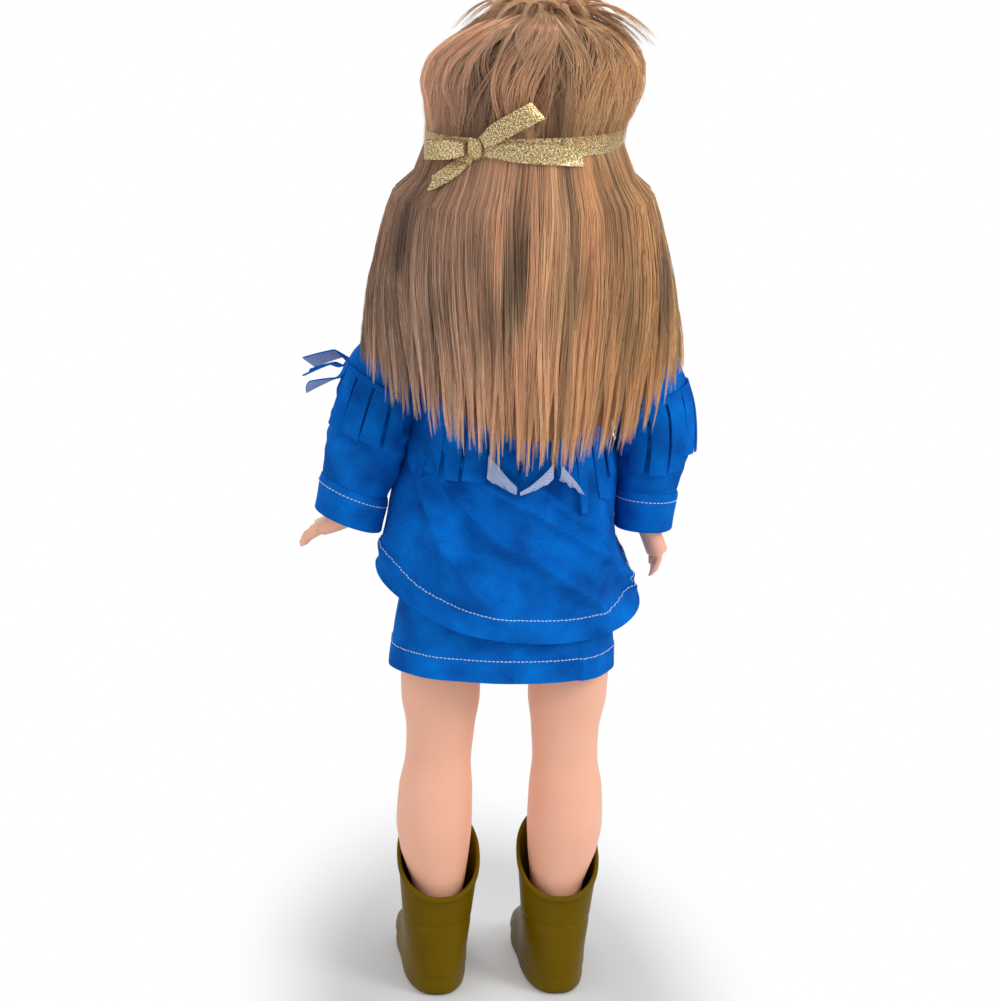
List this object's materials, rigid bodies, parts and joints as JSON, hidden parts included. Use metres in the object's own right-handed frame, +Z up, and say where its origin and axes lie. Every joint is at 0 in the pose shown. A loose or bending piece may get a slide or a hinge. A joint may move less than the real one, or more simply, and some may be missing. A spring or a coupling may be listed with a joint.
{
  "type": "fashion doll",
  "caption": "Child-built vinyl fashion doll with long rooted hair tied with a ribbon, fringed denim jacket, narrow denim skirt and moulded boots.",
  "frame": {"origin": "on the floor, under the middle of the doll's whole extent", "axes": "+Z up from the soles to the crown, -Y the way the doll faces, +X to the doll's left"},
  "size_m": [0.2203, 0.1384, 0.5555],
  "materials": {
    "vinyl": "soft satin skin tone",
    "eye_white": "glossy",
    "lash": "matt",
    "steel": "satin",
    "hair": "straight light brown synthetic fibre",
    "gold_ribbon": "pale gold metallic weave",
    "boot_pvc": "soft sheen, olive",
    "denim": "bright blue twill with pale topstitching",
    "cotton": "white knit"
  },
  "bodies": {
    "torso": {"torso": "vinyl", "briefs": "cotton", "skirt": "denim", "skirt_waistband": "denim", "jacket_back": "denim", "jacket_front_left": "denim", "jacket_front_right": "denim", "jacket_collar": "denim", "snap_top": "steel", "snap_middle": "steel", "snap_bottom": "steel", "fringe_back": "denim", "fringe_front_left": "denim", "fringe_front_right": "denim"},
    "head": {"head": "vinyl", "hair_crown": "hair", "hair_back": "hair", "hair_bangs": "hair", "ribbon_band": "gold_ribbon", "bow_knot": "gold_ribbon", "bow_loop_left": "gold_ribbon", "bow_loop_right": "gold_ribbon", "bow_tail_short": "gold_ribbon", "bow_tail_long": "gold_ribbon"},
    "eyes": {"eyeball_left": "eye_white", "eyeball_right": "eye_white", "eyelid_left": "vinyl", "eyelid_right": "vinyl", "lashes_left": "lash", "lashes_right": "lash", "eye_rocker": "steel", "eye_weight": "steel"},
    "arm_left": {"arm_left": "vinyl", "sleeve_left": "denim", "fringe_sleeve_left": "denim"},
    "arm_right": {"arm_right": "vinyl", "sleeve_right": "denim", "fringe_sleeve_right": "denim"},
    "leg_left": {"leg_left": "vinyl", "boot_left": "boot_pvc"},
    "leg_right": {"leg_right": "vinyl", "boot_right": "boot_pvc"}
  },
  "joints": [
    {"name": "neck_turn", "type": "hinge", "parent": "torso", "child": "head", "pos_m": [-0.0088, -0.0015, 0.4039], "axis": [0, 0, 1], "range_deg": [-60, 60], "deforming": ["hair_back"]},
    {"name": "eyes_close", "type": "hinge", "parent": "head", "child": "eyes", "pos_m": [-0.0088, -0.0267, 0.4673], "axis": [1, 0, 0], "range_deg": [0, 40]},
    {"name": "shoulder_left_swing", "type": "hinge", "parent": "torso", "child": "arm_left", "pos_m": [0.0364, -0.0015, 0.3645], "axis": [-1, 0, 0], "range_deg": [-25, 120]},
    {"name": "shoulder_right_swing", "type": "hinge", "parent": "torso", "child": "arm_right", "pos_m": [-0.054, -0.0015, 0.3645], "axis": [-1, 0, 0], "range_deg": [-25, 120]},
    {"name": "hip_left_swing", "type": "hinge", "parent": "torso", "child": "leg_left", "pos_m": [0.0049, -0.0015, 0.2245], "axis": [-1, 0, 0], "range_deg": [-20, 90], "deforming": ["skirt"]},
    {"name": "hip_right_swing", "type": "hinge", "parent": "torso", "child": "leg_right", "pos_m": [-0.0225, -0.0015, 0.2245], "axis": [-1, 0, 0], "range_deg": [-20, 90], "deforming": ["skirt"]}
  ]
}
